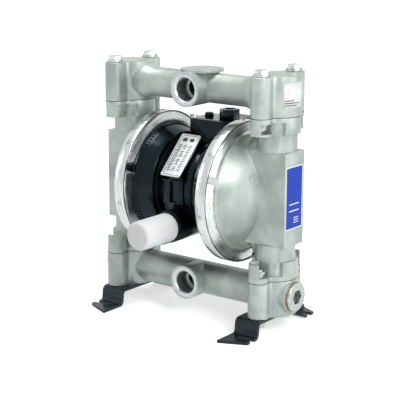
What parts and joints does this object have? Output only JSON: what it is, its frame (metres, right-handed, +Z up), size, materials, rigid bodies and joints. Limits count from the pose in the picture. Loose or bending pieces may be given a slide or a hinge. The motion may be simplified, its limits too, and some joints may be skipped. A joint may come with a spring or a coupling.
{
  "type": "air operated diaphragm pump",
  "caption": "Air operated double diaphragm pump with cast fluid covers, band clamps, front fluid ports, ball checks, white exhaust muffler and sheet metal feet.",
  "frame": {"origin": "on the floor under the middle of the pump, in the middle of the four foot slots", "axes": "+X along the diaphragm shaft, -Y towards the fluid ports and the muffler, +Z up"},
  "size_m": [0.248, 0.1898, 0.2753],
  "materials": {
    "casting": "fine blasted casting",
    "stainless": "polished stainless",
    "zinc_steel": "bright zinc",
    "black_body": "glossy black",
    "seal_rubber": "soft black",
    "white_plastic": "white acetal and PTFE",
    "white_porous": "white sintered polyethylene",
    "plate_metal": "silver, bare",
    "foot_paint": "black paint",
    "copper": "copper sealing ring"
  },
  "bodies": {
    "pump_frame": {"outlet_manifold": "casting", "inlet_manifold": "casting", "fluid_cover_left": "casting", "fluid_cover_right": "casting", "clamp_band_left": "stainless", "clamp_band_right": "stainless", "clamp_retainers_left": "stainless", "clamp_retainers_right": "stainless", "clamp_bolts": "stainless", "clamp_nuts": "stainless", "inlet_seat_left": "stainless", "inlet_seat_right": "stainless", "outlet_seat_left": "stainless", "outlet_seat_right": "stainless", "manifold_bolts": "zinc_steel", "manifold_washers": "zinc_steel", "manifold_nuts": "zinc_steel", "air_cover_screws": "zinc_steel", "inlet_plug_left": "zinc_steel", "inlet_plug_right": "zinc_steel", "valve_screws": "zinc_steel", "ground_screw": "zinc_steel", "air_inlet_fitting": "zinc_steel", "valve_plate": "zinc_steel", "centre_housing": "black_body", "air_cover_left": "black_body", "air_cover_right": "black_body", "valve_housing": "black_body", "valve_end_cap_left": "black_body", "valve_end_cap_right": "black_body", "seat_o_rings": "seal_rubber", "air_cover_gasket_left": "seal_rubber", "air_cover_gasket_right": "seal_rubber", "shaft_seals": "seal_rubber", "valve_gasket": "seal_rubber", "shaft_bearings": "white_plastic", "pilot_bushes": "white_plastic", "muffler": "white_porous", "nameplate": "plate_metal", "foot_left": "foot_paint", "foot_right": "foot_paint", "plug_seals": "copper"},
    "shaft_group": {"shaft": "stainless", "air_plate_left": "zinc_steel", "air_plate_right": "zinc_steel", "fluid_plate_left": "zinc_steel", "fluid_plate_right": "zinc_steel", "shaft_bolt_left": "zinc_steel", "shaft_bolt_right": "zinc_steel", "diaphragm_left": "seal_rubber", "diaphragm_right": "seal_rubber"},
    "air_valve_slide": {"valve_spool": "zinc_steel", "valve_carriage": "white_plastic"},
    "pilot_left": {"pilot_pin_left": "zinc_steel"},
    "inlet_check_left": {"inlet_ball_left": "white_plastic"},
    "outlet_check_left": {"outlet_ball_left": "white_plastic"},
    "pilot_right": {"pilot_pin_right": "zinc_steel"},
    "inlet_check_right": {"inlet_ball_right": "white_plastic"},
    "outlet_check_right": {"outlet_ball_right": "white_plastic"}
  },
  "joints": [
    {"name": "shaft_slide", "type": "slide", "parent": "pump_frame", "child": "shaft_group", "axis": [1, 0, 0], "range_m": [-0.01, 0.01], "deforming": ["diaphragm_left", "diaphragm_right"]},
    {"name": "air_valve_slide", "type": "slide", "parent": "pump_frame", "child": "air_valve_slide", "axis": [1, 0, 0], "range_m": [-0.003, 0.003]},
    {"name": "pilot_left_push", "type": "slide", "parent": "pump_frame", "child": "pilot_left", "axis": [1, 0, 0], "range_m": [0, 0.003]},
    {"name": "inlet_ball_left_lift", "type": "slide", "parent": "pump_frame", "child": "inlet_check_left", "axis": [0, 0, 1], "range_m": [0, 0.008]},
    {"name": "outlet_ball_left_lift", "type": "slide", "parent": "pump_frame", "child": "outlet_check_left", "axis": [0, 0, 1], "range_m": [0, 0.008]},
    {"name": "pilot_right_push", "type": "slide", "parent": "pump_frame", "child": "pilot_right", "axis": [-1, 0, 0], "range_m": [0, 0.003]},
    {"name": "inlet_ball_right_lift", "type": "slide", "parent": "pump_frame", "child": "inlet_check_right", "axis": [0, 0, 1], "range_m": [0, 0.008]},
    {"name": "outlet_ball_right_lift", "type": "slide", "parent": "pump_frame", "child": "outlet_check_right", "axis": [0, 0, 1], "range_m": [0, 0.008]}
  ]
}
